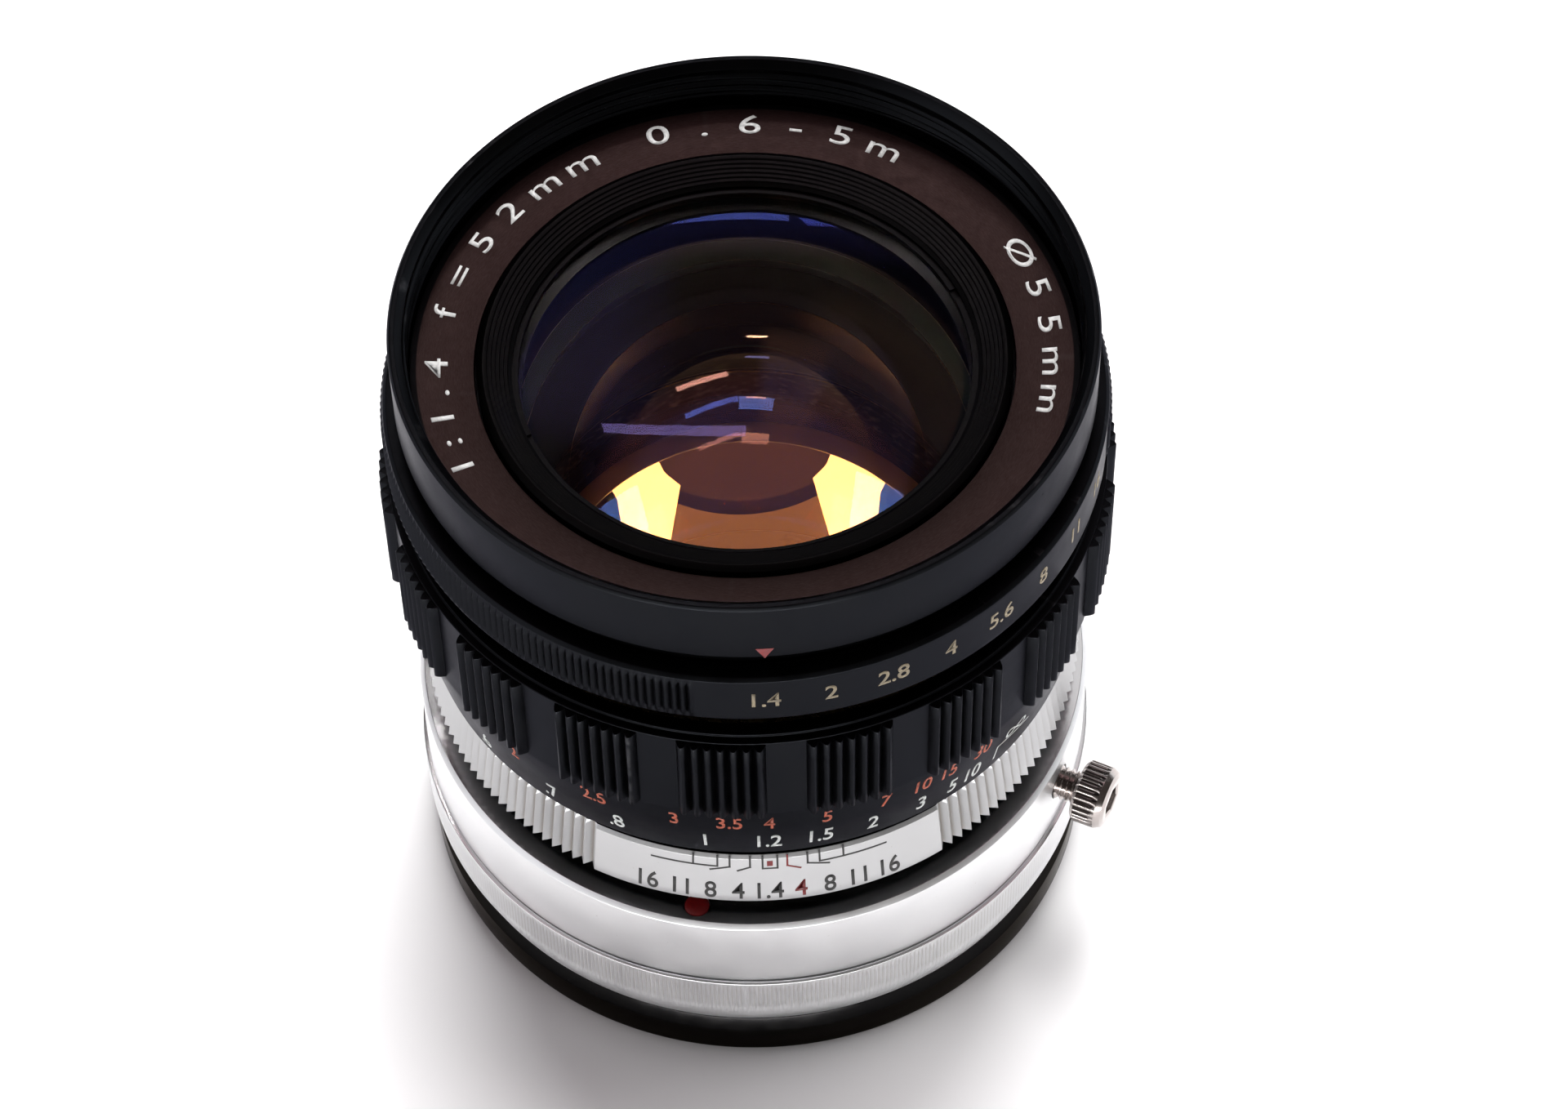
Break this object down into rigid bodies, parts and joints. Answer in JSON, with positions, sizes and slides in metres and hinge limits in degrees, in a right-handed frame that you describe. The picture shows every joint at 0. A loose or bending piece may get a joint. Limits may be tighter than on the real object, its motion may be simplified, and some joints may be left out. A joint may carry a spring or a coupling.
{
  "type": "prime camera lens",
  "caption": "Manual-focus standard prime lens, black front and chrome rear, fitted in a short chrome mount adapter with a radial lock screw; focus and aperture rings turn.",
  "frame": {"origin": "centre of the adapter's flat rear face, on the optical axis", "axes": "+Z along the optical axis towards the subject; the index line of the lens faces -Y"},
  "size_m": [0.0621, 0.0612, 0.065],
  "materials": {
    "black_anodised": "satin black anodised",
    "matt_black": "matt black",
    "name_ring_black": "brown-black anodised",
    "satin_chrome": "satin chrome",
    "bright_steel": "nickel plated",
    "brass": "machined",
    "blade_steel": "blackened",
    "coated_glass": "coated, purple and amber",
    "red_paint": "red paint"
  },
  "bodies": {
    "adapter": {"rear_flange": "matt_black", "flange_screw_1": "bright_steel", "flange_screw_2": "bright_steel", "flange_screw_3": "bright_steel", "flange_screw_4": "bright_steel", "adapter_body": "satin_chrome", "adapter_knurled_ring": "satin_chrome", "mount_index_dot": "red_paint", "lens_mount": "satin_chrome", "fixed_barrel": "black_anodised", "depth_of_field_ring": "satin_chrome", "focus_retaining_ring": "brass", "guide_key_right": "brass", "guide_key_left": "brass"},
    "focus": {"focus_ring": "black_anodised", "focus_helicoid": "brass"},
    "optics": {"optics_barrel": "black_anodised", "front_barrel": "black_anodised", "aperture_index": "red_paint", "name_ring": "name_ring_black", "front_baffle_ring": "matt_black", "aperture_snap_ring": "bright_steel", "click_ball": "bright_steel", "click_spring": "bright_steel", "front_element": "coated_glass", "second_group": "coated_glass", "third_group": "coated_glass", "fourth_element": "coated_glass", "rear_element": "coated_glass", "front_cell": "matt_black", "front_retaining_ring": "matt_black", "rear_cell": "matt_black", "rear_retaining_ring": "matt_black", "iris_floor": "matt_black", "iris_spacer": "matt_black"},
    "aperture": {"aperture_ring": "black_anodised", "aperture_drive_pin": "bright_steel", "iris_drive_arm": "brass", "iris_cam_ring": "brass"},
    "blade_1": {"iris_blade_1": "blade_steel"},
    "blade_2": {"iris_blade_2": "blade_steel"},
    "blade_3": {"iris_blade_3": "blade_steel"},
    "blade_4": {"iris_blade_4": "blade_steel"},
    "blade_5": {"iris_blade_5": "blade_steel"},
    "blade_6": {"iris_blade_6": "blade_steel"},
    "lock_pad": {"lock_pad": "brass"},
    "lock_screw": {"lock_screw": "bright_steel"}
  },
  "joints": [
    {"name": "focus_turn", "type": "hinge", "parent": "adapter", "child": "focus", "pos_m": [0, 0, 0.039], "axis": [0, 0, 1], "range_deg": [-42.2, 53.4]},
    {"name": "optics_slide", "type": "slide", "parent": "adapter", "child": "optics", "axis": [0, 0, 1], "range_m": [-0.00244, 0.00309]},
    {"name": "aperture_turn", "type": "hinge", "parent": "optics", "child": "aperture", "pos_m": [0, 0, 0.054], "axis": [0, 0, 1], "range_deg": [-70, 0]},
    {"name": "blade_1_turn", "type": "hinge", "parent": "optics", "child": "blade_1", "pos_m": [0.0209, 0, 0.0405], "axis": [0, 0, 1], "range_deg": [0, 37.7]},
    {"name": "blade_2_turn", "type": "hinge", "parent": "optics", "child": "blade_2", "pos_m": [0.01045, 0.0181, 0.0405], "axis": [0, 0, 1], "range_deg": [0, 37.7]},
    {"name": "blade_3_turn", "type": "hinge", "parent": "optics", "child": "blade_3", "pos_m": [-0.01045, 0.0181, 0.0405], "axis": [0, 0, 1], "range_deg": [0, 37.7]},
    {"name": "blade_4_turn", "type": "hinge", "parent": "optics", "child": "blade_4", "pos_m": [-0.0209, 0, 0.0405], "axis": [0, 0, 1], "range_deg": [0, 37.7]},
    {"name": "blade_5_turn", "type": "hinge", "parent": "optics", "child": "blade_5", "pos_m": [-0.01045, -0.0181, 0.0405], "axis": [0, 0, 1], "range_deg": [0, 37.7]},
    {"name": "blade_6_turn", "type": "hinge", "parent": "optics", "child": "blade_6", "pos_m": [0.01045, -0.0181, 0.0405], "axis": [0, 0, 1], "range_deg": [0, 37.7]},
    {"name": "lock_pad_slide", "type": "slide", "parent": "adapter", "child": "lock_pad", "axis": [0.8878, -0.4602, 0], "range_m": [0, 0.001]},
    {"name": "lock_screw_turn", "type": "hinge", "parent": "lock_pad", "child": "lock_screw", "pos_m": [0.02903, -0.01505, 0.0163], "axis": [0.8878, -0.4602, 0], "range_deg": [0, 720.5]}
  ],
  "couplings": [
    {"joint": "focus_turn", "follows": "optics_slide", "rad_per_m": 302.08},
    {"joint": "blade_1_turn", "follows": "aperture_turn", "ratio": -0.53714},
    {"joint": "blade_2_turn", "follows": "aperture_turn", "ratio": -0.53714},
    {"joint": "blade_3_turn", "follows": "aperture_turn", "ratio": -0.53714},
    {"joint": "blade_4_turn", "follows": "aperture_turn", "ratio": -0.53714},
    {"joint": "blade_5_turn", "follows": "aperture_turn", "ratio": -0.53714},
    {"joint": "blade_6_turn", "follows": "aperture_turn", "ratio": -0.53714},
    {"joint": "lock_screw_turn", "follows": "lock_pad_slide", "rad_per_m": 12566}
  ]
}
